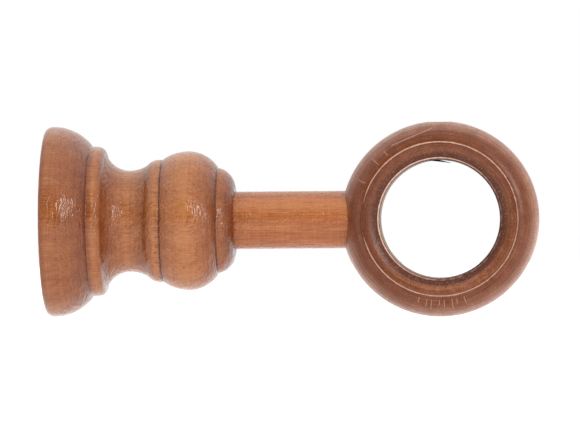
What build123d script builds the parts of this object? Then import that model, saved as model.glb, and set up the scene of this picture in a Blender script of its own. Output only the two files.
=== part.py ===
from build123d import *
import math
import os

# Wooden bracket for a curtain pole: a turned rosette on the wall, a dowel stem and a ring for the pole.
# A steel plate with a threaded hub is screwed to the wall. A hanger bolt in the stem screws into the hub
# and clamps the rosette between the stem's end and the wall.
#
# Millimetres. The wall is the plane X = 0, +X points out of the wall, +Z is up, and the pole lies along Y.
# The origin is the middle of the wall plate's back.

# Driving dimensions.
POLE_DIAMETER = 28.0
POLE_PLAY = 2.0  # on the diameter
PROJECTION = 99.0  # from the wall to the pole's axis
ROSETTE_DIAMETER = 48.0
ROSETTE_LENGTH = 47.4
STEM_DIAMETER = 14.5
RING_DIAMETER = 49.8
RING_WIDTH = 20.4
BOLT_DIAMETER = 6.0  # M6
HUB_LENGTH = 7.25  # the whole threaded length, plate included

ROSETTE_RADIUS = ROSETTE_DIAMETER / 2
STEM_RADIUS = STEM_DIAMETER / 2
RING_RADIUS = RING_DIAMETER / 2
BORE_RADIUS = (POLE_DIAMETER + POLE_PLAY) / 2

# The rosette's turned outline, each a place along X or a radius.
BACK_ROUND = 0.8  # the rounded edge against the wall
BELL_CROWN_X = 1.6  # where the bell is widest
BELL_ARC_RADIUS = 12.2
BELL_END_X = 11.3
SHOULDER_START_X = 11.4
SHOULDER_START_RADIUS = 19.0
SHOULDER_END_X = 13.0
SHOULDER_END_RADIUS = 18.85
COVE_START_X = 14.9
COVE_START_RADIUS = 16.9
WAIST_X = 20.9
WAIST_RADIUS = 12.8
COVE_END_X = 25.4
COVE_END_RADIUS = 14.15
FILLET_START_X = 28.2
FILLET_END_X = 29.2
FILLET_RADIUS = 15.45
BALL_CROWN_X = 35.7
BALL_CROWN_RADIUS = 17.55
BEAD_START_X = 43.2
BEAD_START_RADIUS = 13.35
BEAD_MIDDLE_X = 45.9
BEAD_MIDDLE_RADIUS = 11.95
FRONT_FACE_RADIUS = 8.9

# The stem's socket in the rosette, and the ring's socket for the stem.
TURNING_GAP = 0.08  # radial, so that the arm turns in the rosette
SOCKET_DEPTH = 20.0
SOCKET_CHAMFER = 0.3
STEM_END_CHAMFER = 0.5
RING_SOCKET_DEPTH = 6.0

# The ring's section.
COLLAR_RADIUS = 19.35
COLLAR_PROUD = 0.6  # the collar's step over the ring's body
COLLAR_FALL = 1.5  # how far the collar's face falls back towards the bore
BORE_EASE = 0.4  # the eased edge at each end of the bore
LOCK_HOLE_RADIUS = 1.75
LOCK_SINK_RADIUS = 3.2

# The concealed fixing.
PLATE_RADIUS = 18.0
PLATE_THICKNESS = 2.25
PLATE_EDGE = 0.3
PLATE_GAP = 0.4  # radial, between the plate and its recess
RECESS_DEPTH = 2.6
WALL_SCREW_SPACING = 26.0
WALL_SCREW_HOLE_RADIUS = 2.25
WALL_SCREW_SINK_RADIUS = 4.2
HUB_SPIGOT_RADIUS = 4.0
HUB_BODY_RADIUS = 5.5
HUB_EDGE = 0.4
HUB_GAP = 0.6  # around and ahead of the hub, in the rosette
BOLT_RADIUS = BOLT_DIAMETER / 2
THREAD_PLAY = 0.05  # radial, between the bolt and the hub
BOLT_LENGTH = 50.0
BOLT_SET_BACK = 1.0  # from the wall to the bolt's end
BOLT_END_CHAMFER = 0.6
BOLT_HOLE_GAP = 0.4  # radial, between the bolt and the rosette
CUT_PAST = 1.0  # how far a hole's cutter runs past an open face

SOCKET_BOTTOM_X = ROSETTE_LENGTH - SOCKET_DEPTH
STEM_FAR_END_X = PROJECTION - RING_RADIUS + RING_SOCKET_DEPTH
RING_AXIS = Axis((PROJECTION, 0, 0), (0, 1, 0))


def lathe(edges, axis=Axis.X):
    """A closed outline of edges, turned all the way round the axis."""
    return revolve(make_face(Curve() + edges), axis=axis, revolution_arc=360)


def rod(radius, start_x, end_x):
    """A plain cylinder along X."""
    length = end_x - start_x
    return Pos(start_x + length / 2, 0, 0) * Rot(0, 90, 0) * Cylinder(radius, length)


def cone(start_radius, end_radius, start_x, end_x):
    """A cone along X."""
    length = end_x - start_x
    return Pos(start_x + length / 2, 0, 0) * Rot(0, 90, 0) * Cone(start_radius, end_radius, length)


def bell_radius(x):
    """The bell's radius at x: an arc that is level at its crown."""
    drop = BELL_ARC_RADIUS - math.sqrt(BELL_ARC_RADIUS**2 - (x - BELL_CROWN_X) ** 2)
    return ROSETTE_RADIUS - drop


def rosette_blank():
    """The rosette's outside: bell, shoulder, cove, fillet, ball and bead, from the wall to the front."""
    back_edge = (0, ROSETTE_RADIUS - BACK_ROUND)
    crown = (BELL_CROWN_X, ROSETTE_RADIUS)
    bell_middle_x = (BELL_CROWN_X + BELL_END_X) / 2
    bell_end = (BELL_END_X, bell_radius(BELL_END_X))
    shoulder_start = (SHOULDER_START_X, SHOULDER_START_RADIUS)
    shoulder_end = (SHOULDER_END_X, SHOULDER_END_RADIUS)
    cove_start = (COVE_START_X, COVE_START_RADIUS)
    waist = (WAIST_X, WAIST_RADIUS)
    cove_end = (COVE_END_X, COVE_END_RADIUS)
    fillet_start = (FILLET_START_X, FILLET_RADIUS)
    fillet_end = (FILLET_END_X, FILLET_RADIUS)
    ball_crown = (BALL_CROWN_X, BALL_CROWN_RADIUS)
    bead_start = (BEAD_START_X, BEAD_START_RADIUS)
    bead_middle = (BEAD_MIDDLE_X, BEAD_MIDDLE_RADIUS)
    front_edge = (ROSETTE_LENGTH, FRONT_FACE_RADIUS)
    level = (1, 0)
    return lathe(
        [
            Line((0, 0), back_edge),
            TangentArc(crown, back_edge, tangent=level, tangent_from_first=False),
            ThreePointArc(crown, (bell_middle_x, bell_radius(bell_middle_x)), bell_end),
            Line(bell_end, shoulder_start),
            Line(shoulder_start, shoulder_end),
            TangentArc(shoulder_end, cove_start, tangent=level),
            TangentArc(waist, cove_start, tangent=(-1, 0)),
            TangentArc(waist, cove_end, tangent=level),
            TangentArc(fillet_start, cove_end, tangent=(-1, 0)),
            Line(fillet_start, fillet_end),
            TangentArc(ball_crown, fillet_end, tangent=(-1, 0)),
            TangentArc(ball_crown, bead_start, tangent=level),
            ThreePointArc(bead_start, bead_middle, front_edge),
            Line(front_edge, (ROSETTE_LENGTH, 0)),
            Line((ROSETTE_LENGTH, 0), (0, 0)),
        ]
    )


def make_rosette():
    """The turned rosette, with the plate's recess, the hub's pocket, the bolt's hole and the socket."""
    socket_radius = STEM_RADIUS + TURNING_GAP
    mouth_radius = socket_radius + SOCKET_CHAMFER
    rosette = rosette_blank()
    rosette -= rod(PLATE_RADIUS + PLATE_GAP, -CUT_PAST, RECESS_DEPTH)
    rosette -= rod(HUB_BODY_RADIUS + HUB_GAP, 0, HUB_LENGTH + HUB_GAP)
    rosette -= rod(BOLT_RADIUS + BOLT_HOLE_GAP, 0, ROSETTE_LENGTH)
    rosette -= rod(socket_radius, SOCKET_BOTTOM_X, ROSETTE_LENGTH + CUT_PAST)
    rosette -= cone(socket_radius, mouth_radius, ROSETTE_LENGTH - SOCKET_CHAMFER, ROSETTE_LENGTH)
    return rosette


def make_stem():
    """The dowel, with a blind hole in its wall end for the hanger bolt."""
    dowel = rod(STEM_RADIUS, SOCKET_BOTTOM_X, STEM_FAR_END_X)
    wall_edge = dowel.edges().filter_by(GeomType.CIRCLE).sort_by(Axis.X)[0]
    stem = chamfer(wall_edge, STEM_END_CHAMFER)
    return stem - rod(BOLT_RADIUS - THREAD_PLAY, SOCKET_BOTTOM_X - CUT_PAST, BOLT_SET_BACK + BOLT_LENGTH)


def make_pole_ring():
    """The ring: a rounded body, a raised collar on each face, the pole's bore and the lock screw's hole."""
    half = RING_WIDTH / 2
    body_half = half - COLLAR_PROUD
    rim_y = half - COLLAR_FALL
    bore_x = PROJECTION + BORE_RADIUS
    rim_x = bore_x + BORE_EASE
    collar_x = PROJECTION + COLLAR_RADIUS
    crown_x = PROJECTION + RING_RADIUS
    body = EllipticalCenterArc(
        (collar_x, 0), crown_x - collar_x, body_half, start_angle=-90, arc_size=180
    )
    faces = []
    for side in (-1, 1):
        step = (collar_x, side * body_half)
        arris = (collar_x, side * half)
        rim = (rim_x, side * rim_y)
        bore_end = (bore_x, side * (rim_y - BORE_EASE))
        faces += [
            Line(step, arris),
            TangentArc(arris, rim, tangent=(-1, 0)),
            Line(rim, bore_end),
        ]
    wall = Line((bore_x, BORE_EASE - rim_y), (bore_x, rim_y - BORE_EASE))
    ring = lathe([body, *faces, wall], axis=RING_AXIS)
    ring -= rod(STEM_RADIUS, 0, STEM_FAR_END_X)
    upwards = (Align.CENTER, Align.CENTER, Align.MIN)
    sink_depth = LOCK_SINK_RADIUS - LOCK_HOLE_RADIUS
    lock_hole = Cylinder(LOCK_HOLE_RADIUS, RING_RADIUS, align=upwards)
    sink = Cone(LOCK_HOLE_RADIUS, LOCK_SINK_RADIUS, sink_depth, align=upwards)
    lock_hole += Pos(0, 0, RING_RADIUS - sink_depth) * sink
    return ring - Pos(PROJECTION, 0, 0) * lock_hole


def make_wall_plate():
    """The steel disc: a hole for the hub's spigot and two countersunk holes for wall screws."""
    disc = rod(PLATE_RADIUS, 0, PLATE_THICKNESS)
    plate = chamfer(disc.edges().filter_by(GeomType.CIRCLE), PLATE_EDGE)
    plate -= rod(HUB_SPIGOT_RADIUS, -CUT_PAST, PLATE_THICKNESS + CUT_PAST)
    sink_depth = WALL_SCREW_SINK_RADIUS - WALL_SCREW_HOLE_RADIUS
    hole = rod(WALL_SCREW_HOLE_RADIUS, -CUT_PAST, PLATE_THICKNESS + CUT_PAST)
    sink_start_x = PLATE_THICKNESS - sink_depth
    hole += cone(WALL_SCREW_HOLE_RADIUS, WALL_SCREW_SINK_RADIUS, sink_start_x, PLATE_THICKNESS)
    for side in (-1, 1):
        plate -= Pos(0, 0, side * WALL_SCREW_SPACING / 2) * hole
    return plate


def make_threaded_hub():
    """The bush: a spigot riveted into the plate, a wider body in front of it, and the thread's bore."""
    body = rod(HUB_BODY_RADIUS, PLATE_THICKNESS, HUB_LENGTH)
    front_edge = body.edges().filter_by(GeomType.CIRCLE).sort_by(Axis.X)[-1]
    hub = chamfer(front_edge, HUB_EDGE) + rod(HUB_SPIGOT_RADIUS, 0, PLATE_THICKNESS)
    return hub - rod(BOLT_RADIUS, -CUT_PAST, HUB_LENGTH + CUT_PAST)


def make_hanger_bolt():
    """The double-ended bolt, with both threads as plain cylinders."""
    bolt = rod(BOLT_RADIUS - THREAD_PLAY, BOLT_SET_BACK, BOLT_SET_BACK + BOLT_LENGTH)
    return chamfer(bolt.edges().filter_by(GeomType.CIRCLE), BOLT_END_CHAMFER)


NODES = {
    "rosette": make_rosette,
    "stem": make_stem,
    "pole_ring": make_pole_ring,
    "wall_plate": make_wall_plate,
    "threaded_hub": make_threaded_hub,
    "hanger_bolt": make_hanger_bolt,
}

os.makedirs("parts", exist_ok=True)
for name, make in NODES.items():
    export_step(make(), f"parts/{name}.step")
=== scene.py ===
import math

import bpy
import numpy as np
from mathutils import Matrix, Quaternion, Vector


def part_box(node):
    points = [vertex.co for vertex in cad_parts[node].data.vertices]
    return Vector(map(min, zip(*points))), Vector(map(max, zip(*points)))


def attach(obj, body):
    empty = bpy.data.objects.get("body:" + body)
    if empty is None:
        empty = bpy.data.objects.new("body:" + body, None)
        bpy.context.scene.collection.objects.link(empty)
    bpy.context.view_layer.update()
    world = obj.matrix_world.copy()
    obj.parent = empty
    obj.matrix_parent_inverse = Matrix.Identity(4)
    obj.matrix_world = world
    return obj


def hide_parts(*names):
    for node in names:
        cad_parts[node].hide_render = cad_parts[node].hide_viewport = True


# Looks of a wooden curtain pole bracket: turned rosette, dowel stem, pole ring and the steel fixing behind.
# Lengths are millimetres until a mesh is made: +X out of the wall, the pole along Y, +Z up.

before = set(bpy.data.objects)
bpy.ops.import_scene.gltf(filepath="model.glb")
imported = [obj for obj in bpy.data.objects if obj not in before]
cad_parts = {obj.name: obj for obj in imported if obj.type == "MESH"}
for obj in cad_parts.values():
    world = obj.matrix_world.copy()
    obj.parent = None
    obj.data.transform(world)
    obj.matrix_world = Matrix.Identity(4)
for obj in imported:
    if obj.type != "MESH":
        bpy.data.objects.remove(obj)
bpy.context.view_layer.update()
MM = 0.001


def node_box(node):
    """A CAD node's lowest and highest corner, in millimetres."""
    low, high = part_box(node)
    return np.array(low) / MM, np.array(high) / MM


_, ROSETTE_HIGH = node_box("rosette")
STEM_LOW, STEM_HIGH = node_box("stem")
RING_LOW, RING_HIGH = node_box("pole_ring")
_, PLATE_HIGH = node_box("wall_plate")
_, HUB_HIGH = node_box("threaded_hub")
BOLT_LOW, BOLT_HIGH = node_box("hanger_bolt")

ROSETTE_RADIUS = ROSETTE_HIGH[1]
ROSETTE_LENGTH = ROSETTE_HIGH[0]
STEM_RADIUS = STEM_HIGH[1]
RING_RADIUS = -RING_LOW[2]
RING_HALF = RING_HIGH[1]
POLE_AXIS_X = RING_HIGH[0] - RING_RADIUS
PLATE_RADIUS = PLATE_HIGH[1]
PLATE_THICKNESS = PLATE_HIGH[0]
HUB_RADIUS = HUB_HIGH[1]
HUB_LENGTH = HUB_HIGH[0]
BOLT_RADIUS = BOLT_HIGH[1]

THREAD_PITCH = 1.0
THREAD_DEPTH = 0.6
LEVEL = np.array((1.0, 0.0))

# ---------------------------------------------------------------- outlines


def line(start, end, step=0.1):
    """Points on the straight run from start to end, the end left out: start + t (end - start)."""
    start = np.array(start, float)
    end = np.array(end, float)
    count = max(2, int(np.linalg.norm(end - start) / step))
    t = np.arange(count)[:, None] / count
    return start + t * (end - start)


def arc(start, end, leaving, step=0.1):
    """Points on the circle through start and end that leaves start along a direction, the end left out.

    With n the direction turned a quarter, the radius is |chord|^2 / (2 n.chord), and the point at angle a is
    start + radius (sin a leaving + (1 - cos a) n), up to twice the angle between direction and chord.
    """
    start = np.array(start, float)
    chord = np.array(end, float) - start
    leaving = np.array(leaving, float) / np.linalg.norm(leaving)
    normal = np.array((-leaving[1], leaving[0]))
    radius = chord @ chord / (2 * normal @ chord)
    sweep = 2 * math.atan2(normal @ chord, leaving @ chord)
    count = max(4, int(abs(radius * sweep) / step))
    angle = np.arange(count)[:, None] / count * sweep
    return start + radius * (np.sin(angle) * leaving + (1 - np.cos(angle)) * normal)


def arc_into(start, end, arriving, step=0.1):
    """Points on the circle through start and end that reaches end along a direction."""
    chord = np.array(end, float) - np.array(start, float)
    along = np.array(arriving, float) / np.linalg.norm(arriving)
    mirror_axis = chord / np.linalg.norm(chord)
    leaving = 2 * (along @ mirror_axis) * mirror_axis - along
    return arc(start, end, leaving, step)


def blur(values, sigma, spacing):
    """A closed run of values, blurred along its length by a bell curve of width sigma."""
    reach = int(4 * sigma / spacing)
    offset = np.arange(-reach, reach + 1)
    weight = np.exp(-0.5 * (offset * spacing / sigma) ** 2)
    weight /= weight.sum()
    wrapped = np.concatenate([values[-reach:], values, values[:reach]])
    return np.convolve(wrapped, weight, mode="valid")


def even_steps(points, spacing):
    """A closed outline walked at even steps. Returns the points and the distance along it of each."""
    closed = np.vstack([points, points[:1]])
    reach = np.concatenate([[0], np.cumsum(np.linalg.norm(np.diff(closed, axis=0), axis=1))])
    count = int(reach[-1] / spacing)
    walk = np.arange(count) / count * reach[-1]
    return np.column_stack([np.interp(walk, reach, closed[:, i]) for i in (0, 1)]), walk


def bending(points, spacing):
    """The signed bend of a closed outline, in 1/mm: positive where it turns clockwise."""
    ahead = np.roll(points, -1, axis=0) - points
    heading = np.unwrap(np.arctan2(ahead[:, 1], ahead[:, 0]))
    turn = (heading - np.roll(heading, 1) + math.pi) % (2 * math.pi) - math.pi
    return -turn / spacing


def near(path, place):
    """The index of the outline's point that lies nearest a place."""
    return np.argmin(np.linalg.norm(path - place, axis=1))


class Outline:
    """A closed turned outline: where its points are, how far along they lie, and how its surface is there.

    The drawn outline is walked at fine even steps, and its corners are eased by a bell-curve blur. Cut lines
    are sunk into it, and its shown part, up to a distance along it, gets a fine ripple. It is then thinned to
    the wanted count, with the points closest where it bends most.
    The surface's values are edge and groove, where it bends outwards or inwards sharply, hollow, where it
    bends inwards over a millimetre or so, raw, where it is drilled and unfinished, tone, how pale the stain
    is, with painted shade and painted light laid into it at some places, and ticks, where short marks cross
    the edges. Cuts, worn, ticked and clean are rows of a place, a strength and a width.
    """

    FINE = 0.02
    CUT_POWER = 1.6
    RIPPLE_WIDTH = 0.35
    SHARP_WIDTH = 0.14
    BEND_WIDTH = 0.06
    HOLLOW_WIDTH = 0.8
    EDGE_BEND = 0.35  # bends are in 1/mm
    GROOVE_BEND = 0.3
    FULL_BEND = 1.2
    HOLLOW_BEND = 0.5
    HIDDEN_DENSITY = 0.25
    BEND_DENSITY = 1.6
    EDGE_DENSITY = 6.0

    def __init__(
        self, points, count, ease, shown_to, raw, tones, cuts=(), worn=(), ticked=(), clean=(), ripple=0.0
    ):
        self.drawn, walk = even_steps(np.array(points), self.FINE)
        self.walk = walk
        path = np.column_stack([blur(self.drawn[:, i], ease, self.FINE) for i in (0, 1)])
        ahead = np.roll(path, -1, axis=0) - np.roll(path, 1, axis=0)
        inward = np.column_stack([ahead[:, 1], -ahead[:, 0]]) / np.linalg.norm(ahead, axis=1)[:, None]
        shown = walk < shown_to
        waves = np.random.default_rng(len(walk)).standard_normal(len(walk))
        waves = blur(waves, self.RIPPLE_WIDTH, self.FINE)
        depth = self.humps(cuts, self.CUT_POWER) + shown * ripple * (waves / waves.std() + 1.5)
        path += depth[:, None] * inward
        bend = blur(bending(path, self.FINE), self.BEND_WIDTH, self.FINE)
        sharp = blur(bend, self.SHARP_WIDTH, self.FINE)
        edge = np.clip((sharp - self.EDGE_BEND) / self.FULL_BEND, 0, 1) + self.humps(worn)
        groove = np.clip((-sharp - self.GROOVE_BEND) / self.FULL_BEND, 0, 1) * (1 - self.humps(clean))
        hollow = np.clip(-blur(bend, self.HOLLOW_WIDTH, self.FINE) / self.HOLLOW_BEND, 0, 1)
        bare = raw(path, walk)
        density = np.where(shown, 1.0, self.HIDDEN_DENSITY) + self.BEND_DENSITY * np.sqrt(np.abs(bend))
        density += self.EDGE_DENSITY * np.clip(edge, 0, 1)
        reach = np.concatenate([[0], np.cumsum(density)])
        pick = np.interp(np.arange(count) / count * reach[-1], reach, np.arange(len(reach)))
        index = pick.astype(int)
        whole = {
            "edge": np.clip(edge, 0, 1) * (1 - bare),
            "groove": groove,
            "hollow": hollow,
            "raw": bare,
            "tone": self.toned(tones),
            "ticks": self.humps(ticked),
        }
        self.values = {label: values[index] for label, values in whole.items()}
        self.points = path[index]
        self.walk = walk[index]

    def humps(self, places, power=2.0):
        """The sum, over the places, of strength exp(-|distance along the outline / width|^power)."""
        total = np.zeros(len(self.walk))
        for place, strength, wide in places:
            away = np.abs(self.walk - self.walk[near(self.drawn, place)]) / wide
            total += strength * np.exp(-(away**power))
        return total

    def toned(self, tones):
        """How pale the stain is along the outline, with painted shade included where a piece gives it: given
        at named places, and a straight run in between.
        """
        places = sorted((self.walk[near(self.drawn, place)], tone) for place, tone in tones)
        return np.interp(self.walk, [at for at, _ in places], [tone for _, tone in places])


# ---------------------------------------------------------------- meshes


def grid_faces(rows, columns):
    """Quads of a grid that closes on itself both ways."""
    row, column = np.meshgrid(np.arange(rows), np.arange(columns), indexing="ij")
    next_row = (row + 1) % rows
    next_column = (column + 1) % columns
    corners = (row, next_row, next_row, row), (column, column, next_column, next_column)
    return np.stack([r * columns + c for r, c in zip(*corners)], axis=-1).reshape(-1, 4)


def facing_out(points, faces):
    """A closed surface's quads as a list, turned about if the volume they enclose comes out negative.

    That volume is a sixth of the sum of a . (b x c) over their triangles.
    """
    corners = points[faces]
    halves = (corners[:, [0, 1, 2]], corners[:, [0, 2, 3]])
    volume = sum((half[:, 0] * np.cross(half[:, 1], half[:, 2])).sum() for half in halves)
    return (faces if volume > 0 else faces[:, ::-1]).tolist()


def add_object(name, data):
    """A new object in the scene."""
    thing = bpy.data.objects.new(name, data)
    bpy.context.scene.collection.objects.link(thing)
    return thing


def make_piece(name, points, faces, fields):
    """A smooth mesh object from arrays. Fields are values for each point, kept as attributes of the mesh."""
    mesh = bpy.data.meshes.new(name)
    mesh.from_pydata((points * MM).tolist(), [], faces)
    for label, values in fields.items():
        kind = "FLOAT_VECTOR" if values.ndim == 2 else "FLOAT"
        attribute = mesh.attributes.new(label, kind, "POINT")
        key = "vector" if values.ndim == 2 else "value"
        attribute.data.foreach_set(key, values.astype(np.float32).ravel())
    mesh.shade_smooth()
    mesh.update()
    return add_object(name, mesh)


def turned(name, outline, around, placed, stripes=()):
    """An outline turned about its axis: at angle a, placed(along, radius cos a, radius sin a).

    Each point keeps how it was turned, (cos a, sin a, distance along the outline), and its surface's values.
    A stripe is an angle, a rise in tone and a width in degrees, for a paler band along the piece there.
    """
    angle = np.arange(around) / around * 2 * math.pi
    along = np.repeat(outline.points[:, 0], around)
    radius = np.repeat(outline.points[:, 1], around)
    cosine = np.tile(np.cos(angle), len(outline.points))
    sine = np.tile(np.sin(angle), len(outline.points))
    fields = {label: np.repeat(values, around) for label, values in outline.values.items()}
    fields["turned"] = np.column_stack([cosine, sine, np.repeat(outline.walk, around)])
    for at, rise, wide in stripes:
        paler = rise * np.exp(-(((np.degrees(angle) - at) / wide) ** 2))
        fields["tone"] = fields["tone"] + np.tile(paler, len(outline.points))
    points = placed(along, radius * cosine, radius * sine)
    faces = facing_out(points, grid_faces(len(outline.points), around))
    return make_piece(name, points, faces, fields)


def along_x(along, side, up):
    """Places a piece turned about X."""
    return np.column_stack([along, side, up])


CUT_SMOOTH = math.radians(35)  # a sharper edge than this is shown sharp
THREAD_SMOOTH = math.radians(40)


def apply_cut(piece, cutter):
    """Takes the cutter's shape out of the piece, and removes the cutter."""
    cut = piece.modifiers.new("cut", "BOOLEAN")
    cut.object = cutter
    cut.operation = "DIFFERENCE"
    cut.solver = "EXACT"
    bpy.context.view_layer.update()
    whole = piece.evaluated_get(bpy.context.evaluated_depsgraph_get())
    mesh = bpy.data.meshes.new_from_object(whole)
    piece.modifiers.clear()
    piece.data = mesh
    mesh.set_sharp_from_angle(angle=CUT_SMOOTH)
    bpy.data.objects.remove(cutter)


# ---------------------------------------------------------------- wooden pieces

# The rosette's outline, places along X and radii. It repeats the frame's, so the two lie together.
BACK_ROUND = 0.8
BELL_CROWN_X = 1.6
BELL_END = (11.3, 19.2)
SHOULDER_START = (11.4, 19.0)
SHOULDER_END = (13.0, 18.85)
COVE_START = (14.9, 16.9)
WAIST = (20.9, 12.8)
COVE_END = (25.4, 14.15)
FILLET_START = (28.2, 15.45)
FILLET_END = (29.2, 15.45)
BALL_CROWN = (35.7, 17.55)
BALL_FAR_SIDE = (41.0, 15.6)
BEAD_START = (43.2, 13.35)
BEAD_LEAVING = (1.0, -0.22)
BEAD_END = (46.9, 10.8)
FRONT_RADIUS = 8.9
SOCKET_RADIUS = STEM_RADIUS + 0.08
SOCKET_CHAMFER = 0.3
SOCKET_X = STEM_LOW[0]
BOLT_HOLE_RADIUS = BOLT_RADIUS + 0.45
HUB_POCKET_RADIUS = HUB_RADIUS + 0.6
HUB_POCKET_X = HUB_LENGTH + 0.6
RECESS_RADIUS = PLATE_RADIUS + 0.4
RECESS_X = PLATE_THICKNESS + 0.35
CORNER_EASE = 0.1
BARE_FADE = 0.3  # how far the stain runs over an edge on to bare wood
AXIS_GAP = 0.02  # from the axis to the inner end of a blind hole's floor


def rosette_outline():
    """Bell, shoulder, cove, fillet, ball and bead from the wall to the front, then the socket, bolt hole, hub
    pocket and plate recess back to the wall. Returns the outline and the length of its outside."""
    back_edge = (0, ROSETTE_RADIUS - BACK_ROUND)
    crown = (BELL_CROWN_X, ROSETTE_RADIUS)
    front_edge = (ROSETTE_LENGTH, FRONT_RADIUS)
    outside = [
        arc_into(back_edge, crown, LEVEL),
        arc(crown, BELL_END, LEVEL),
        line(BELL_END, SHOULDER_START),
        line(SHOULDER_START, SHOULDER_END),
        arc(SHOULDER_END, COVE_START, LEVEL),
        arc_into(COVE_START, WAIST, LEVEL),
        arc(WAIST, COVE_END, LEVEL),
        arc_into(COVE_END, FILLET_START, LEVEL),
        line(FILLET_START, FILLET_END),
        arc_into(FILLET_END, BALL_CROWN, LEVEL),
        arc(BALL_CROWN, BEAD_START, LEVEL),
        arc(BEAD_START, front_edge, BEAD_LEAVING),
    ]
    corners = [
        front_edge,
        (ROSETTE_LENGTH, SOCKET_RADIUS + SOCKET_CHAMFER),
        (ROSETTE_LENGTH - SOCKET_CHAMFER, SOCKET_RADIUS),
        (SOCKET_X, SOCKET_RADIUS),
        (SOCKET_X, BOLT_HOLE_RADIUS),
        (HUB_POCKET_X, BOLT_HOLE_RADIUS),
        (HUB_POCKET_X, HUB_POCKET_RADIUS),
        (RECESS_X, HUB_POCKET_RADIUS),
        (RECESS_X, RECESS_RADIUS),
        (0, RECESS_RADIUS),
        back_edge,
    ]
    inside = [line(a, b) for a, b in zip(corners, corners[1:])]
    outside_length = sum(length_of(run) for run in outside)
    return np.vstack(outside + inside), outside_length


def length_of(points):
    """The length of a run of n points whose end is left out: the sum of its steps, times n / (n - 1)."""
    return np.linalg.norm(np.diff(points, axis=0), axis=1).sum() * len(points) / (len(points) - 1)


def make_rosette():
    """The turned rosette, with a fine cut line at the foot of the shoulder, the ball and the front bead."""
    points, outside_length = rosette_outline()
    cuts = [(SHOULDER_START, 0.1, 0.45), (FILLET_END, 0.17, 0.14), (BEAD_START, 0.2, 0.14)]
    bell_middle = (6.6, 23.0)
    tones = [
        ((0, ROSETTE_RADIUS - BACK_ROUND), 0.63),
        ((BELL_CROWN_X, ROSETTE_RADIUS), 0.65),
        (bell_middle, 0.66),
        (BELL_END, 0.6),
        (SHOULDER_START, 0.75),
        (SHOULDER_END, 0.8),
        (COVE_START, 0.85),
        (WAIST, 0.92),
        (COVE_END, 0.8),
        (FILLET_START, 0.92),
        (FILLET_END, 0.9),
        (BALL_CROWN, 0.95),
        (BALL_FAR_SIDE, 0.75),
        (BEAD_START, 0.72),
        (BEAD_END, 0.6),
        # The front face round the stem is dark: a painted shadow of the gap where the stem goes in.
        ((ROSETTE_LENGTH, FRONT_RADIUS), 0.3),
    ]
    shoulder = (11.6, 19.0)
    ticked = [(shoulder, 0.4, 0.8), (FILLET_START, 0.8, 0.5), (FILLET_END, 1.0, 0.5), (BEAD_START, 0.5, 0.5)]
    clean = [(SHOULDER_START, 0.75, 1.0)]
    front = outside_length + (FRONT_RADIUS - SOCKET_RADIUS)

    def raw(path, walk):
        return np.clip((walk - front) / BARE_FADE, 0, 1)

    marks = {"tones": tones, "cuts": cuts, "ticked": ticked, "clean": clean}
    outline = Outline(points, 380, ease=CORNER_EASE, shown_to=outside_length, raw=raw, ripple=0.012, **marks)
    return turned("rosette_turned", outline, around=252, placed=along_x)


def make_stem():
    """The dowel, eased at both ends, with a blind hole for the hanger bolt and two paler stripes along it."""
    hole_radius = BOLT_RADIUS
    hole_x = BOLT_HIGH[0]
    ease = 0.5
    near_edge = (STEM_LOW[0] + ease, STEM_RADIUS)
    far_edge = (STEM_HIGH[0] - ease, STEM_RADIUS)
    corners = [
        far_edge,
        (STEM_HIGH[0], STEM_RADIUS - ease),
        (STEM_HIGH[0], AXIS_GAP),
        (hole_x, AXIS_GAP),
        (hole_x, hole_radius),
        (STEM_LOW[0], hole_radius),
        (STEM_LOW[0], STEM_RADIUS - ease),
        near_edge,
    ]
    outside_length = far_edge[0] - near_edge[0]
    stained_past_edge = 0.2

    def raw(path, walk):
        return np.clip((walk - outside_length - stained_past_edge) / BARE_FADE, 0, 1)

    points = np.vstack([line(near_edge, far_edge)] + [line(a, b) for a, b in zip(corners, corners[1:])])
    tones = [(near_edge, 0.7), (far_edge, 0.7)]
    outline = Outline(points, 240, ease=0.06, shown_to=outside_length, raw=raw, ripple=0.006, tones=tones)
    # The broad stripe at 146 degrees, along the upper front, is a painted highlight of light from above; the
    # thin one at 197 degrees is a paler band.
    stripes = [(146, 0.32, 20), (197, 0.16, 6)]
    return turned("stem_dowel", outline, around=160, placed=along_x, stripes=stripes)


# The ring's section, as radii from the pole's axis and places along Y.
BORE_RADIUS = 15.0
COLLAR_RADIUS = 19.35
COLLAR_PROUD = 0.6
COLLAR_FALL = 1.5
BORE_EASE = 0.4
RING_SHRINK = 0.012  # across the grain, as dried wood does
LOCK_HOLE_RADIUS = 1.75
LOCK_SINK_RADIUS = 3.2


def ring_outline():
    """The ring's section, from one collar round the outside to the other, and back through the bore."""
    body_half = RING_HALF - COLLAR_PROUD
    rim_y = RING_HALF - COLLAR_FALL
    angle = np.linspace(math.pi / 2, -math.pi / 2, 160, endpoint=False)
    swell = RING_RADIUS - COLLAR_RADIUS
    body = np.column_stack([body_half * np.sin(angle), COLLAR_RADIUS + swell * np.cos(angle)])
    far_step = (-body_half, COLLAR_RADIUS)
    far_arris = (-RING_HALF, COLLAR_RADIUS)
    far_rim = (-rim_y, BORE_RADIUS + BORE_EASE)
    far_bore = (BORE_EASE - rim_y, BORE_RADIUS)
    near_bore = (rim_y - BORE_EASE, BORE_RADIUS)
    near_rim = (rim_y, BORE_RADIUS + BORE_EASE)
    near_arris = (RING_HALF, COLLAR_RADIUS)
    near_step = (body_half, COLLAR_RADIUS)
    runs = [
        body,
        line(far_step, far_arris),
        arc(far_arris, far_rim, (0, -1)),
        line(far_rim, far_bore),
        line(far_bore, near_bore),
        line(near_bore, near_rim),
        arc_into(near_rim, near_arris, (0, 1)),
        line(near_arris, near_step),
    ]
    return np.vstack(runs)


def around_pole(along, side, up):
    """Places a piece turned about the pole's axis, shrunk a little across the grain."""
    return np.column_stack([POLE_AXIS_X - side, along, up * (1 - RING_SHRINK)])


def upright(along, side, up):
    """Places a piece turned about the ring's vertical axis."""
    return np.column_stack([POLE_AXIS_X + side, up, along])


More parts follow.
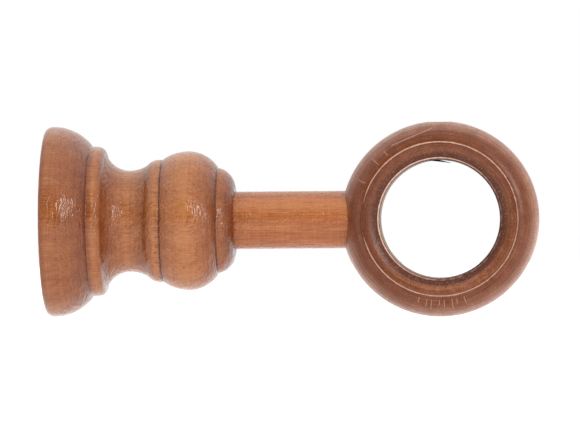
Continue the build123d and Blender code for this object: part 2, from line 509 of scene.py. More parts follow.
def turned_cutter(name, profile, around, placed):
    """A solid for a drilled hole: rings at each (along, radius) of the profile, joined by quads and closed by
    a flat face at both ends. The wood that it leaves is bare."""
    angle = np.arange(around) / around * 2 * math.pi
    along, turn = np.meshgrid([at for at, _ in profile], angle, indexing="ij")
    radius = np.repeat([wide for _, wide in profile], around)
    cosine = np.cos(turn).ravel()
    sine = np.sin(turn).ravel()
    last = (len(profile) - 1) * around
    first_end = list(reversed(range(around)))
    last_end = list(range(last, last + around))
    sides = grid_faces(len(profile), around)[:last, ::-1].tolist()
    fields = {
        "turned": np.column_stack([cosine, sine, along.ravel()]),
        "raw": np.ones(len(radius)),
        "tone": np.full(len(radius), 0.5),
    }
    points = placed(along.ravel(), radius * cosine, radius * sine)
    return make_piece(name, points, [first_end, *sides, last_end], fields)


def read_values(collection, key, width=1):
    """A mesh's values, one row for each of their parts."""
    values = np.empty(len(collection) * width, np.float32)
    collection.foreach_get(key, values)
    return values.reshape(-1, width).T


def uneven_ring(ring):
    """Varies the ring's rubbing and paleness round it, and paints light on the bore's bare wall.

    With turn angle a, cosine 1 towards the stem and sine 1 at the top, q is 0.87 cos a + 0.5 sin a. The rim
    keeps 0.7 + 0.5 q of its rubbing, and the collar's arris 0.85 + 0.3 q, but the stem shields the arris
    where cos a is near 1. The collar is paler at the lower right, the top and the bottom. The bare wood of
    the bore is paler on the stem's side, by 0.4 cos a - 0.18 sin a: painted light on the wall that faces the
    side window, and painted shade on the far side.
    """
    attributes = ring.data.attributes
    edge = read_values(attributes["edge"].data, "value")[0]
    tone = read_values(attributes["tone"].data, "value")[0]
    cosine, sine, _ = read_values(attributes["turned"].data, "vector", 3)
    x, _, z = read_values(ring.data.vertices, "co", 3)
    upper_stem_side = 0.87 * cosine + 0.5 * sine
    lower_right = np.clip(-0.5 * cosine - 0.87 * sine, 0, 1)
    from_axis = np.hypot(x / MM - POLE_AXIS_X, z / MM)
    shielded = 0.75 * np.clip((cosine - 0.93) / 0.05, 0, 1)
    rim = np.clip(0.7 + 0.5 * upper_stem_side, 0.3, 1)
    arris = np.clip(0.85 + 0.3 * upper_stem_side, 0, 1) * (1 - shielded)
    edge *= np.where(from_axis > BORE_RADIUS + 2, arris, rim)
    collar = (from_axis > BORE_RADIUS + 1.5) & (from_axis < COLLAR_RADIUS)
    tone += collar * (0.25 * lower_right + 0.13 * np.abs(sine))
    # Painted light and shade: the bore's bare wall is paler on the side that faces the side window, and
    # darker across from it.
    tone += 0.45 * (0.9 * cosine - 0.4 * sine) * (from_axis < BORE_RADIUS + 0.3)
    attributes["edge"].data.foreach_set("value", edge)
    attributes["tone"].data.foreach_set("value", tone)


def ring_surface():
    """The ring's outline with its rubbed arrises and rims, its marks, and its tones."""
    bore_wall = RING_HALF - COLLAR_FALL - BORE_EASE

    def raw(path, walk):
        inside = BORE_RADIUS + 0.25 - path[:, 1]
        return np.clip(inside / 0.2, 0, 1) * (np.abs(path[:, 0]) < bore_wall + 0.2)

    worn = []
    ticked = []
    tones = [((0.0, RING_RADIUS), 1.05), ((0.0, BORE_RADIUS), 0.5)]
    for side in (-1, 1):
        rim = (side * (RING_HALF - COLLAR_FALL), BORE_RADIUS + BORE_EASE)
        arris = (side * RING_HALF, COLLAR_RADIUS)
        worn += [(rim, 1.8, 0.19), (arris, 0.6, 0.12)]
        ticked += [
            ((side * (RING_HALF - 0.9), COLLAR_RADIUS - 3.0), 0.9, 0.8),
            ((side * (RING_HALF - 0.2), COLLAR_RADIUS - 1.4), 0.3, 0.8),
        ]
        tones += [
            ((side * (RING_HALF - COLLAR_PROUD), COLLAR_RADIUS), 0.7),
            (arris, 0.9),
            ((side * (RING_HALF - 0.1), COLLAR_RADIUS - 1.2), 0.85),
            ((side * (RING_HALF - 0.4), COLLAR_RADIUS - 2.1), 0.75),
            ((side * (RING_HALF - 0.7), COLLAR_RADIUS - 2.6), 0.4),
            (rim, 0.33),
        ]
    marks = {"tones": tones, "worn": worn, "ticked": ticked}
    return Outline(ring_outline(), 260, ease=0.07, shown_to=math.inf, raw=raw, ripple=-0.008, **marks)


def make_ring():
    """The turned ring, with the stem's socket and the countersunk hole of the lock screw."""
    ring = turned("ring_turned", ring_surface(), around=360, placed=around_pole)
    uneven_ring(ring)
    socket_end = STEM_HIGH[0] + 0.05
    socket_radius = STEM_RADIUS + 0.04
    socket = [(STEM_LOW[0], socket_radius), (socket_end, socket_radius)]
    apply_cut(ring, turned_cutter("socket_cutter", socket, 160, along_x))
    top = RING_RADIUS * (1 - RING_SHRINK)
    sink_start = top - (LOCK_SINK_RADIUS - LOCK_HOLE_RADIUS)
    above = 1.0
    mouth = (top + above, LOCK_SINK_RADIUS + above)
    lock = [(0.0, LOCK_HOLE_RADIUS), (sink_start, LOCK_HOLE_RADIUS), mouth]
    apply_cut(ring, turned_cutter("lock_cutter", lock, 96, upright))
    return ring


def make_torn_fibres():
    """The torn splinters where the lock hole breaks into the bore: thin tapering slivers that curl downwards.

    Each follows start + t run + t^2 curl, and its flat section shrinks as 1 - 0.9 t^2.5.
    """
    top = BORE_RADIUS * (1 - RING_SHRINK)
    slivers = [
        ((-3.0, -5.5, top), (3.9, 0.0, -0.05), (2.1, 0.0, -0.85), 0.6),
        ((-2.4, -4.5, top + 0.05), (2.6, 0.1, -0.3), (0.9, 0.0, -0.15), 0.5),
        ((0.4, -3.0, top + 0.2), (1.6, 0.2, -0.3), (1.2, 0.2, -0.3), 0.25),
        ((-0.6, -3.0, top + 0.2), (-1.6, 0.1, -0.3), (-0.9, 0.0, 0.0), 0.25),
    ]
    steps = 24
    sides = 8
    width, height = 0.2, 0.45
    t = np.linspace(0, 1, steps)[:, None]
    angle = np.arange(sides) / sides * 2 * math.pi
    points = []
    for start, run, curl, thick in slivers:
        spine = np.array(start) + t * np.array(run) + t**2 * np.array(curl)
        taper = thick * (1.0 - 0.9 * t**2.5)
        section = np.column_stack([width * np.cos(angle), np.cos(angle), height * np.sin(angle)])
        points.append((spine[:, None, :] + taper[:, :, None] * section[None, :, :]).reshape(-1, 3))
    faces = []
    for i in range(len(slivers)):
        quads = grid_faces(steps, sides)[: (steps - 1) * sides, ::-1]
        faces += (quads + i * steps * sides).tolist()
        faces.append([i * steps * sides + k for k in reversed(range(sides))])
        faces.append([(i * steps + steps - 1) * sides + k for k in range(sides)])
    return make_piece("ring_torn_fibres", np.vstack(points) + (POLE_AXIS_X, 0, 0), faces, {})


# ---------------------------------------------------------------- steel pieces


def thread_wave(along, angle):
    """A sharp right-hand thread, 0 at its roots and 1 at its crests: a triangle wave of along / pitch less
    angle / turn, stretched a little past both ends so that roots and crests are flat."""
    phase = (along / THREAD_PITCH - angle / (2 * math.pi)) % 1.0
    return np.clip(1.25 * (1 - np.abs(2 * phase - 1)) - 0.1, 0, 1)


def threaded_surface(name, legs, around):
    """A turned surface with a right-hand thread cut in it.

    A leg is a start and an end, each (along, radius), a count and a thread depth. Its points are start +
    t (end - start), the end left out, and the radius is lowered by depth x (1 - wave).
    """
    places = []
    depths = []
    for start, end, count, depth in legs:
        t = np.arange(count)[:, None] / count
        places.append(np.array(start) + t * (np.array(end) - np.array(start)))
        depths += [[depth]] * count
    places = np.vstack(places)
    angle = np.arange(around) / around * 2 * math.pi
    along, turn = np.meshgrid(places[:, 0], angle, indexing="ij")
    radius = places[:, 1:] - np.array(depths) * (1 - thread_wave(along, turn))
    points = along_x(along.ravel(), (radius * np.cos(turn)).ravel(), (radius * np.sin(turn)).ravel())
    piece = make_piece(name, points, facing_out(points, grid_faces(len(places), around)), {})
    piece.data.set_sharp_from_angle(angle=THREAD_SMOOTH)
    return piece


def make_hanger_bolt():
    """The double-ended bolt: a chamfered machine thread towards the wall, a plain waist, and a wood thread
    that runs out to a point. A thin core closes it along the axis."""
    low = BOLT_LOW[0]
    high = BOLT_HIGH[0]
    lead = low + 0.9
    core = 0.01
    thread_end = STEM_LOW[0] - 1.0
    wood_start = STEM_LOW[0] + 1.0
    waist = BOLT_RADIUS - 0.35
    root = BOLT_RADIUS - THREAD_DEPTH
    blunt_end = root - 0.1
    point_start = high - 3
    legs = [
        ((low, core), (low, blunt_end), 6, 0.0),
        ((low, blunt_end), (lead, BOLT_RADIUS), 10, 0.12),
        ((lead, BOLT_RADIUS), (thread_end, BOLT_RADIUS), 300, THREAD_DEPTH),
        ((thread_end, waist), (wood_start, waist), 8, 0.0),
        ((wood_start, BOLT_RADIUS), (point_start, BOLT_RADIUS), 200, THREAD_DEPTH),
        ((point_start, root), (high, core), 8, 0.0),
        ((high, core), (high, core / 2), 1, 0.0),
        ((high, core / 2), (low, core / 2), 4, 0.0),
    ]
    return threaded_surface("hanger_bolt_threaded", legs, around=64)


def make_hub():
    """The bush: its spigot is swaged over the plate, its body stands in front, and its bore is threaded."""
    bore = BOLT_RADIUS + 0.05
    chamfer = 0.55
    mouth = bore + chamfer
    spigot = 4.0
    swage = 0.25
    edge = 0.4
    corners = [
        ((0.0, mouth), 3, 0.0),
        ((0.0, spigot - 3 * swage), 3, 0.0),
        ((swage, spigot - 2 * swage), 3, 0.0),
        ((0.0, spigot - swage), 2, 0.0),
        ((0.0, spigot), 4, 0.0),
        ((PLATE_THICKNESS, spigot), 3, 0.0),
        ((PLATE_THICKNESS, HUB_RADIUS), 10, 0.0),
        ((HUB_LENGTH - edge, HUB_RADIUS), 3, 0.0),
        ((HUB_LENGTH, HUB_RADIUS - edge), 3, 0.0),
        ((HUB_LENGTH, mouth), 5, 0.05),
        ((HUB_LENGTH - chamfer, bore), 110, THREAD_DEPTH * 0.9),
        ((chamfer, bore), 5, 0.05),
    ]
    ends = corners[1:] + corners[:1]
    legs = [(start, end, count, depth) for (start, count, depth), (end, _, _) in zip(corners, ends)]
    return threaded_surface("threaded_hub_bush", legs, around=72)


# ---------------------------------------------------------------- node helpers


def feed(tree, node, inputs):
    """Gives each named input of a node its value, or the socket that feeds it."""
    for key, value in inputs.items():
        if isinstance(value, bpy.types.NodeSocket):
            tree.links.new(value, node.inputs[key])
        else:
            node.inputs[key].default_value = value


def put(tree, kind, inputs=None, **settings):
    """Adds a node with its settings and inputs."""
    node = tree.nodes.new(kind)
    for name, value in settings.items():
        setattr(node, name, value)
    feed(tree, node, inputs or {})
    return node


def maths(tree, operation, a, b=0.0, clamp=False):
    """The output of a Math node."""
    return put(tree, "ShaderNodeMath", {0: a, 1: b}, operation=operation, use_clamp=clamp).outputs[0]


def vector_maths(tree, operation, a, b, output="Vector"):
    """An output of a Vector Math node."""
    return put(tree, "ShaderNodeVectorMath", {0: a, 1: b}, operation=operation).outputs[output]


def remap(tree, value, low, high, to_low=0.0, to_high=1.0):
    """A value taken from one range to another, held at the ends."""
    places = {"Value": value, "From Min": low, "From Max": high, "To Min": to_low, "To Max": to_high}
    return put(tree, "ShaderNodeMapRange", places).outputs[0]


def tint(tree, factor, a, b, blend="MIX"):
    """Two colours mixed by a factor."""
    sockets = {0: factor, 6: a, 7: b}
    return put(tree, "ShaderNodeMix", sockets, data_type="RGBA", blend_type=blend).outputs[2]


def scaled(tree, vector, scale, shift=(0, 0, 0)):
    """A vector stretched and shifted."""
    sockets = {"Vector": vector, "Scale": scale, "Location": shift}
    return put(tree, "ShaderNodeMapping", sockets).outputs[0]


def noise(tree, vector, scale=1.0, detail=2.0, roughness=0.5):
    """The value of a noise texture."""
    sockets = {"Vector": vector, "Scale": scale, "Detail": detail, "Roughness": roughness}
    return put(tree, "ShaderNodeTexNoise", sockets).outputs["Fac"]


def new_group(name, inputs, outputs):
    """An empty node group with its sockets. Returns the tree, its input node and its output node."""
    tree = bpy.data.node_groups.new(name, "ShaderNodeTree")
    for label, kind, value in inputs:
        socket = tree.interface.new_socket(label, in_out="INPUT", socket_type="NodeSocket" + kind)
        socket.default_value = value
    for label, kind in outputs:
        tree.interface.new_socket(label, in_out="OUTPUT", socket_type="NodeSocket" + kind)
    return tree, tree.nodes.new("NodeGroupInput"), tree.nodes.new("NodeGroupOutput")


def use(tree, group, inputs):
    """A node group placed in a material."""
    return put(tree, "ShaderNodeGroup", inputs, node_tree=group)


# ---------------------------------------------------------------- shared effects


def grain_group():
    """Wood grain along X, from the object's place: fine streaks, broad bands, thin dark pores, and short
    ticks with pale flecks between them."""
    inputs = [("Point", "Vector", (0, 0, 0)), ("Streak Width", "Float", 0.3), ("Streak Length", "Float", 8.0)]
    outputs = [(label, "Float") for label in ("Streaks", "Bands", "Pores", "Ticks", "Flecks")]
    tree, given, sink = new_group("wood_grain", inputs, outputs)
    point = scaled(tree, given.outputs["Point"], (1 / MM, 1 / MM, 1 / MM))
    width = given.outputs["Streak Width"]
    length = given.outputs["Streak Length"]
    streak = put(tree, "ShaderNodeCombineXYZ", {0: length, 1: width, 2: width}).outputs[0]
    stretched = vector_maths(tree, "DIVIDE", point, streak)
    fine = noise(tree, stretched, 1.0, 3.0, 0.6)
    broad = noise(tree, scaled(tree, stretched, (0.3, 0.1, 0.1), (3, 5, 7)), 1.0, 2.0, 0.5)
    pore_field = noise(tree, scaled(tree, point, (0.28, 3.2, 3.2), (11, 2, 5)), 1.0, 1.0, 0.4)
    tick_field = noise(tree, scaled(tree, point, (0.5, 2.2, 2.2), (4, 9, 1)), 1.0, 1.0, 0.5)
    masks = {
        "Streaks": remap(tree, fine, 0.3, 0.7),
        "Bands": remap(tree, broad, 0.3, 0.7),
        "Pores": remap(tree, pore_field, 0.56, 0.7),
        "Ticks": remap(tree, tick_field, 0.52, 0.66),
        "Flecks": remap(tree, tick_field, 0.44, 0.32),
    }
    feed(tree, sink, masks)
    return tree


def turning_group():
    """Marks of the lathe: lines round the piece at each distance along its outline, and short wavy ridges in
    the lacquer that run round it for part of a turn and lean a little."""
    inputs = [
        ("Turned", "Vector", (0, 0, 0)),
        ("Line Spacing", "Float", 0.35),
        ("Ridge Spacing", "Float", 0.62),
        ("Ridge Turns", "Float", 6.0),
        ("Lean", "Float", 4.0),
    ]
    outputs = [("Lines", "Float"), ("Ridges", "Float")]
    tree, given, sink = new_group("turning_marks", inputs, outputs)
    parts = put(tree, "ShaderNodeSeparateXYZ", {0: given.outputs["Turned"]})
    cosine, sine, walk = parts.outputs
    step = maths(tree, "DIVIDE", walk, given.outputs["Line Spacing"])
    slow = put(tree, "ShaderNodeCombineXYZ", {0: cosine, 1: sine, 2: step}).outputs[0]
    lines = noise(tree, scaled(tree, slow, (0.8, 0.8, 1.0)), 1.0, 3.0, 0.65)
    turns = given.outputs["Ridge Turns"]
    circle_x = maths(tree, "MULTIPLY", cosine, turns)
    circle_y = maths(tree, "MULTIPLY", sine, turns)
    ridge_step = maths(tree, "DIVIDE", walk, given.outputs["Ridge Spacing"])
    slow_walk = maths(tree, "MULTIPLY", walk, 0.3)
    sway_point = put(tree, "ShaderNodeCombineXYZ", {0: circle_x, 1: circle_y, 2: slow_walk}).outputs[0]
    sway = noise(tree, sway_point, 1.0, 1.0, 0.5)
    leaning = maths(tree, "SUBTRACT", ridge_step, maths(tree, "MULTIPLY", sine, given.outputs["Lean"]))
    across = maths(tree, "ADD", leaning, maths(tree, "MULTIPLY", sway, 5.0))
    ridge_point = put(tree, "ShaderNodeCombineXYZ", {0: circle_x, 1: circle_y, 2: across}).outputs[0]
    ridges = noise(tree, ridge_point, 1.0, 0.0, 0.5)
    feed(tree, sink, {"Lines": remap(tree, lines, 0.3, 0.7), "Ridges": remap(tree, ridges, 0.3, 0.7)})
    return tree


def rubbed_group():
    """Where a mask such as an edge is worn or filled, broken up along its length by noise."""
    inputs = [("Mask", "Float", 0.0), ("Point", "Vector", (0, 0, 0)), ("Break Up", "Float", 0.5)]
    tree, given, sink = new_group("rubbed", inputs, [("Mask", "Float")])
    patches = noise(tree, given.outputs["Point"], 900.0, 3.0, 0.6)
    uneven = remap(tree, patches, 0.35, 0.65)
    loss = maths(tree, "MULTIPLY", given.outputs["Break Up"], maths(tree, "SUBTRACT", 1.0, uneven))
    kept = maths(tree, "SUBTRACT", given.outputs["Mask"], loss, clamp=True)
    feed(tree, sink, {"Mask": kept})
    return tree


def nick_group():
    """A short straight mark on the front, from start to end, both in millimetres, as seen along the pole.

    With p the point and t the part of the way along the mark that lies nearest it, held between 0 and 1, the
    mask falls from 1 to 0 as |p - start - t (end - start)| grows to the width.
    """
    inputs = [
        ("Point", "Vector", (0, 0, 0)),
        ("Start", "Vector", (0, 0, 0)),
        ("End", "Vector", (1, 0, 0)),
        ("Width", "Float", 0.2),
    ]
    tree, given, sink = new_group("nick", inputs, [("Mask", "Float")])
    point = given.outputs["Point"]
    flat = scaled(tree, point, (1 / MM, 0, 1 / MM))
    run = vector_maths(tree, "SUBTRACT", given.outputs["End"], given.outputs["Start"])
    offset = vector_maths(tree, "SUBTRACT", flat, given.outputs["Start"])
    along = vector_maths(tree, "DOT_PRODUCT", offset, run, "Value")
    whole = vector_maths(tree, "DOT_PRODUCT", run, run, "Value")
    part = maths(tree, "DIVIDE", along, whole, clamp=True)
    nearest = put(tree, "ShaderNodeVectorMath", {0: run, "Scale": part}, operation="SCALE").outputs[0]
    gap = vector_maths(tree, "DISTANCE", offset, nearest, "Value")
    mask = remap(tree, gap, 0.0, given.outputs["Width"], 1.0, 0.0)
    front = maths(tree, "LESS_THAN", put(tree, "ShaderNodeSeparateXYZ", {0: point}).outputs[1], 0.0)
    feed(tree, sink, {"Mask": maths(tree, "MULTIPLY", mask, front)})
    return tree


GRAIN = grain_group()
TURNING = turning_group()
RUBBED = rubbed_group()
NICK = nick_group()


# ---------------------------------------------------------------- finishes


def new_material(name):
    """A material with only a Principled shader and its output."""
    material = bpy.data.materials.new(name)
    material.use_nodes = True
    tree = material.node_tree
    return material, tree, tree.nodes["Principled BSDF"]


def attribute(tree, name):
    """One of the piece's own attributes."""
    return put(tree, "ShaderNodeAttribute", attribute_name=name)


def stain_ramp(tree, depth, stops):
    """The stain's colour from its paleness, 0 to 1, through evenly spaced colours."""
    ramp = put(tree, "ShaderNodeValToRGB", {0: depth})
    elements = ramp.color_ramp.elements
    for i in range(len(stops) - 2):
        elements.new((i + 1) / (len(stops) - 1))
    for i, colour in enumerate(stops):
        elements[i].position = i / (len(stops) - 1)
        elements[i].color = (*colour, 1)
    return ramp.outputs[0]


def bumped(tree, height, strength, distance):
    """The normals of a surface that a height of 1 raises by a distance, in millimetres."""
    inputs = {"Height": height, "Strength": strength, "Distance": distance * MM}
    return put(tree, "ShaderNodeBump", inputs).outputs[0]


def weighted(tree, start, terms):
    """start plus the sum of each socket times its weight."""
    total = start
    for socket, weight in terms:
        total = maths(tree, "ADD", maths(tree, "MULTIPLY", socket, weight), total)
    return total


def nick_at(tree, point, start, end, width):
    """The mask of one nick."""
    return use(tree, NICK, {"Point": point, "Start": start, "End": end, "Width": width}).outputs[0]


def grain_place(tree, along_y):
    """The object's place, the same with its first part along the grain, and how far the surface cuts across
    the grain: the part of its normal that lies along it."""
    coordinates = put(tree, "ShaderNodeTexCoord")
    point = coordinates.outputs["Object"]
    facing = put(tree, "ShaderNodeSeparateXYZ", {0: coordinates.outputs["Normal"]}).outputs
    if not along_y:
        return point, point, maths(tree, "ABSOLUTE", facing[0])
    x, y, z = put(tree, "ShaderNodeSeparateXYZ", {0: point}).outputs
    swapped = put(tree, "ShaderNodeCombineXYZ", {0: y, 1: x, 2: z}).outputs[0]
    return point, swapped, maths(tree, "ABSOLUTE", facing[1])


def marked(tree, colour, marks):
    """A colour with marks laid over it in turn, each a mask, a strength and a colour."""
    for mask, strength, mark_colour in marks:
        colour = tint(tree, maths(tree, "MULTIPLY", mask, strength), colour, mark_colour)
    return colour


def stained_wood(
    name, stops, line_colour, worn, raw, along_y=False, streak=(0.25, 7.0), end_depth=0.6, roughness=0.17,
    ridge=1.9, specular=0.4, turned_lines=0.22, nicks=(), pits=(),
):
    """Stained and lacquered wood.

    The stain's paleness is the piece's own tone, less where the surface cuts across the grain, and varied by
    bands, streaks and lathe marks; the tone holds painted shade and painted light at some places. The colour
    is darker where the surface is hollow. Cut lines are dark, and rubbed edges pale. Raw is the darker and
    the paler colour of its unfinished wood. Nicks are pale marks and pits dark ones, each a start, an end and
    a width.
    """
    material, tree, shader = new_material(name)
    point, grain_point, across = grain_place(tree, along_y)
    grain = use(tree, GRAIN, {"Point": grain_point, "Streak Width": streak[0], "Streak Length": streak[1]})
    lathe = use(tree, TURNING, {"Turned": attribute(tree, "turned").outputs["Vector"]})
    labels = ("edge", "groove", "hollow", "tone", "raw", "ticks")
    rubbed, cut, hollow, tone, bare, ticked = (attribute(tree, label).outputs["Fac"] for label in labels)
    edge = use(tree, RUBBED, {"Mask": rubbed, "Point": point, "Break Up": 0.3}).outputs[0]
    sunk = use(tree, RUBBED, {"Mask": cut, "Point": point, "Break Up": 0.55}).outputs[0]
    ticks = maths(tree, "MULTIPLY", ticked, grain.outputs["Ticks"])
    flecks = maths(tree, "MULTIPLY", ticked, grain.outputs["Flecks"])
    end_grain = maths(tree, "POWER", across, 1.3)

    streaks = grain.outputs["Streaks"]
    pores = grain.outputs["Pores"]
    lines = lathe.outputs["Lines"]
    varied = [(grain.outputs["Bands"], 0.2), (streaks, 0.5), (lines, turned_lines)]
    evenly = -0.5 * sum(weight for _, weight in varied)
    # The tone can hold painted shade and painted light, and the hollow term darkens the colour in hollows.
    depth = [(tone, 1.0), (end_grain, -end_depth), (hollow, -0.35)]
    colour = stain_ramp(tree, weighted(tree, evenly, depth + varied), stops)
    marks = [
        (pores, 0.25, line_colour),
        (ticks, 0.75, line_colour),
        (sunk, 0.9, line_colour),
        *[(nick_at(tree, point, *pit), 0.9, line_colour) for pit in pits],
        (edge, 0.9, worn),
        (flecks, 0.1, worn),
        *[(nick_at(tree, point, *nick), 0.32, worn) for nick in nicks],
    ]
    bare_paleness = weighted(tree, -0.5, [(streaks, 0.8), (tone, 1.2)])
    colour = tint(tree, bare, marked(tree, colour, marks), tint(tree, bare_paleness, *raw))
    rough = weighted(tree, roughness, [(streaks, -0.05), (bare, 0.2)])
    relief = [(streaks, 0.1), (lines, 0.1), (lathe.outputs["Ridges"], ridge), (pores, -0.2), (ticks, -0.3)]
    normal = bumped(tree, weighted(tree, 0.0, relief), 1.0, 0.05)
    looks = {"Base Color": colour, "Roughness": rough, "Specular IOR Level": specular, "Normal": normal}
    feed(tree, shader, {"Coat Weight": 0.0, **looks})
    return material


def rosette_wood():
    """The rosette's warm orange-brown stain, its grain along X."""
    return stained_wood(
        "rosette_stained_wood",
        stops=[(0.12, 0.025, 0.006), (0.205, 0.056, 0.015), (0.305, 0.097, 0.030), (0.425, 0.162, 0.056)],
        line_colour=(0.085, 0.018, 0.006, 1),
        worn=(0.46, 0.19, 0.09, 1),
        raw=((0.15, 0.065, 0.035, 1), (0.33, 0.18, 0.11, 1)),
        pits=[((35.3, 0.0, -11.6), (35.4, 0.0, -11.5), 0.35)],
    )


def stem_wood():
    """The stem's stain, a little more orange."""
    return stained_wood(
        "stem_stained_wood",
        stops=[(0.14, 0.028, 0.006), (0.24, 0.060, 0.014), (0.34, 0.100, 0.028), (0.45, 0.155, 0.050)],
        line_colour=(0.08, 0.016, 0.006, 1),
        worn=(0.60, 0.30, 0.18, 1),
        raw=((0.20, 0.10, 0.055, 1), (0.42, 0.25, 0.16, 1)),
        streak=(0.3, 9.0),
    )


def ring_nicks():
    """The pale marks on the ring's front: one long scratch at the upper left, a row of short ticks across the
    body at the bottom, and a few more on the left. Each tick lies along a radius, from inner to outer."""
    scratch = ((POLE_AXIS_X - 11.9, 0.0, 18.4), (POLE_AXIS_X - 1.9, 0.0, 22.6), 0.2)
    bottom = [(-105 + 4.4 * i + 1.1 * (i % 2), 20.3, 21.4 + 0.6 * (i % 3)) for i in range(8)]
    left = [(154, 20.6, 22.4), (138, 20.4, 22.6), (129, 20.6, 22.0)]
    ticks = []
    for degrees, inner, outer in bottom + left:
        angle = math.radians(degrees)
        along = (math.cos(angle), math.sin(angle))
        start, end = ((POLE_AXIS_X + radius * along[0], 0.0, radius * along[1]) for radius in (inner, outer))
        ticks.append((start, end, 0.16))
    return [scratch, *ticks]


def ring_wood():
    """The ring's darker brown stain, its grain along the pole, rubbed pale at its arrises."""
    return stained_wood(
        "ring_stained_wood",
        stops=[(0.075, 0.014, 0.002), (0.135, 0.031, 0.008), (0.2, 0.062, 0.025), (0.35, 0.155, 0.09)],
        line_colour=(0.068, 0.02, 0.006, 1),
        worn=(0.84, 0.53, 0.41, 1),
        # With the tone painted round the bore, this bare colour runs from painted shade, near black, on the
        # bore's far side to painted light on the side that faces the side window.
        raw=((0.035, 0.015, 0.009, 1), (0.31, 0.19, 0.13, 1)),
        along_y=True,
        end_depth=0.25,
        roughness=0.34,
        ridge=0.4,
        specular=0.3,
        turned_lines=0.4,
        nicks=ring_nicks(),
    )


def torn_wood():
    """Bare torn fibres, near black."""
    material, tree, shader = new_material("torn_wood")
    point = put(tree, "ShaderNodeTexCoord").outputs["Object"]
    grain = use(tree, GRAIN, {"Point": point, "Streak Width": 0.1, "Streak Length": 2.0})
    colour = tint(tree, grain.outputs["Streaks"], (0.006, 0.003, 0.002, 1), (0.03, 0.012, 0.008, 1))
    feed(tree, shader, {"Base Color": colour, "Roughness": 0.9, "Specular IOR Level": 0.1})
    return material


def plated_steel(name, dull, bright, mottle):
    """Plated steel: a mottled tone, fine scratches and a little tarnish in patches."""
    material, tree, shader = new_material(name)
    point = put(tree, "ShaderNodeTexCoord").outputs["Object"]
    patches = remap(tree, noise(tree, point, mottle, 3.0, 0.55), 0.35, 0.65)
    brushed = scaled(tree, point, (3000, 700, 6000))
    scratch = remap(tree, noise(tree, brushed, 1.0, 2.0, 0.6), 0.6, 0.75)
    colour = tint(tree, patches, dull, bright)
    rough = weighted(tree, 0.42, [(patches, -0.12), (scratch, 0.15)])
    normal = bumped(tree, scratch, 0.6, 0.01)
    feed(tree, shader, {"Base Color": colour, "Metallic": 1.0, "Roughness": rough, "Normal": normal})
    return material


def plate_steel():
    """Bright zinc on the pressed plate."""
    return plated_steel("zinc_plated_steel", (0.30, 0.31, 0.33, 1), (0.42, 0.43, 0.44, 1), 900.0)


def bolt_steel():
    """Yellow zinc on the bush and the bolt."""
    return plated_steel("yellow_zinc_steel", (0.45, 0.38, 0.20, 1), (0.72, 0.62, 0.36, 1), 500.0)


# ---------------------------------------------------------------- assembly


def finish_piece(piece, material, body, slot, *nodes):
    """Gives a piece its material and its body, and hides the CAD nodes that it stands for. The slot is not
    used.
    """
    piece.data.materials.clear()
    piece.data.materials.append(material)
    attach(piece, body)
    if nodes:
        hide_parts(*nodes)


RING_FINISH = ring_wood()
BOLT_FINISH = bolt_steel()
finish_piece(make_rosette(), rosette_wood(), "rosette", "rosette_wood", "rosette")
finish_piece(make_stem(), stem_wood(), "arm", "stem_wood", "stem")
finish_piece(make_ring(), RING_FINISH, "arm", "ring_wood", "pole_ring")
finish_piece(make_torn_fibres(), torn_wood(), "arm", "ring_wood")
finish_piece(make_hub(), BOLT_FINISH, "wall_plate", "bolt_steel", "threaded_hub")
finish_piece(make_hanger_bolt(), BOLT_FINISH, "arm", "bolt_steel", "hanger_bolt")
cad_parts["wall_plate"].data.materials.clear()
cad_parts["wall_plate"].data.materials.append(plate_steel())


# ---------------------------------------------------------------- studio


def make_floor():
    """A plain pale floor a little below the bracket."""
    half = 3.0
    gap_below = 22.0
    height = (RING_LOW[2] - gap_below) * MM
    mesh = bpy.data.meshes.new("floor")
    corners = [(-half, -half, height), (half, -half, height), (half, half, height), (-half, half, height)]
    mesh.from_pydata(corners, [], [(0, 1, 2, 3)])
    material, tree, shader = new_material("pale_floor")
    looks = {"Base Color": (0.95, 0.95, 0.95, 1), "Roughness": 0.9, "Specular IOR Level": 0.1}
    feed(tree, shader, {"Emission Color": (1, 1, 1, 1), "Emission Strength": 0.22, **looks})
    mesh.materials.append(material)
    floor = add_object("floor", mesh)


def softbox(name, place, target, size, power):
    """A rectangular soft light at a place, facing a target, in millimetres, with its power in watts."""
    data = bpy.data.lights.new(name, "AREA")
    data.shape = "RECTANGLE"
    data.size = size[0] * MM
    data.size_y = size[1] * MM
    data.energy = power
    lamp = add_object(name, data)
    lamp.location = Vector(place) * MM
    aim = Vector(target) - Vector(place)
    lamp.rotation_mode = "QUATERNION"
    lamp.rotation_quaternion = aim.to_track_quat("-Z", "Y")


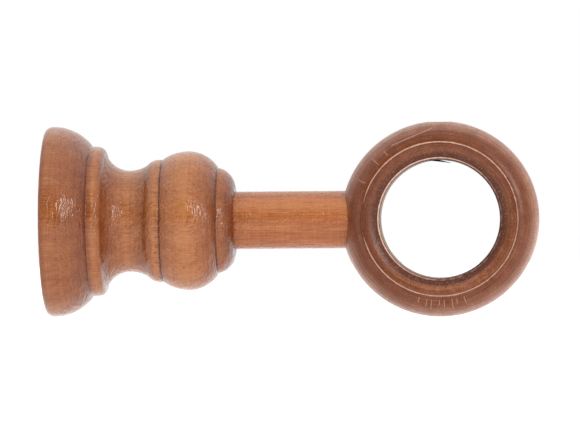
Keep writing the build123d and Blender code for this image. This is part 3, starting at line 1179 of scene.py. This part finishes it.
def make_surroundings():
    """A white tent with a dark opening for the camera, brighter overhead, and plain white to the camera.

    With y the direction's part away from the camera, the tent's strength falls from 0.93 to 0.04 as -y rises
    from the opening's edge to its middle.
    """
    opening_edge = math.cos(math.radians(52))
    opening_middle = math.cos(math.radians(20))
    world = bpy.data.worlds.new("tent")
    bpy.context.scene.world = world
    world.use_nodes = True
    tree = world.node_tree
    tree.nodes.clear()
    direction = put(tree, "ShaderNodeTexCoord").outputs["Generated"]
    parts = put(tree, "ShaderNodeSeparateXYZ", {0: direction})
    towards_camera = maths(tree, "MULTIPLY", parts.outputs[1], -1.0)
    opening = remap(tree, towards_camera, opening_edge, opening_middle, 0.93, 0.04)
    overhead = remap(tree, parts.outputs[2], 0.1, 0.8, 1.0, 1.5)
    strength = maths(tree, "MULTIPLY", opening, overhead)
    seen = put(tree, "ShaderNodeLightPath").outputs["Is Camera Ray"]
    tent = put(tree, "ShaderNodeBackground", {"Color": (1, 1, 1, 1), "Strength": strength})
    plain = put(tree, "ShaderNodeBackground", {"Color": (1, 1, 1, 1), "Strength": 1.0})
    either = put(tree, "ShaderNodeMixShader", {0: seen, 1: tent.outputs[0], 2: plain.outputs[0]})
    put(tree, "ShaderNodeOutputWorld", {"Surface": either.outputs[0]})


def make_camera():
    """A long lens square to the bracket, with the ring's end turned a little towards it."""
    distance = 982.0
    turn = 0.0495
    roll = math.radians(0.45)
    target = Vector((61.2, 0.0, 0.63))
    data = bpy.data.cameras.new("camera")
    data.sensor_width = 36.0
    data.lens = 242.0
    data.clip_start = 0.05
    data.clip_end = 50.0
    camera = add_object("camera", data)
    away = Vector((math.sin(turn), -math.cos(turn), 0.0))
    camera.location = (target + away * distance) * MM
    camera.rotation_mode = "QUATERNION"
    facing = (-away).to_track_quat("-Z", "Y")
    camera.rotation_quaternion = facing @ Quaternion((0, 0, 1), -roll)
    bpy.context.scene.camera = camera


make_floor()
make_surroundings()
softbox("side_window", place=(495, -518, 190), target=(60, 0, 0), size=(190, 230), power=1.6)
make_camera()
bpy.context.scene.view_settings.view_transform = "Standard"
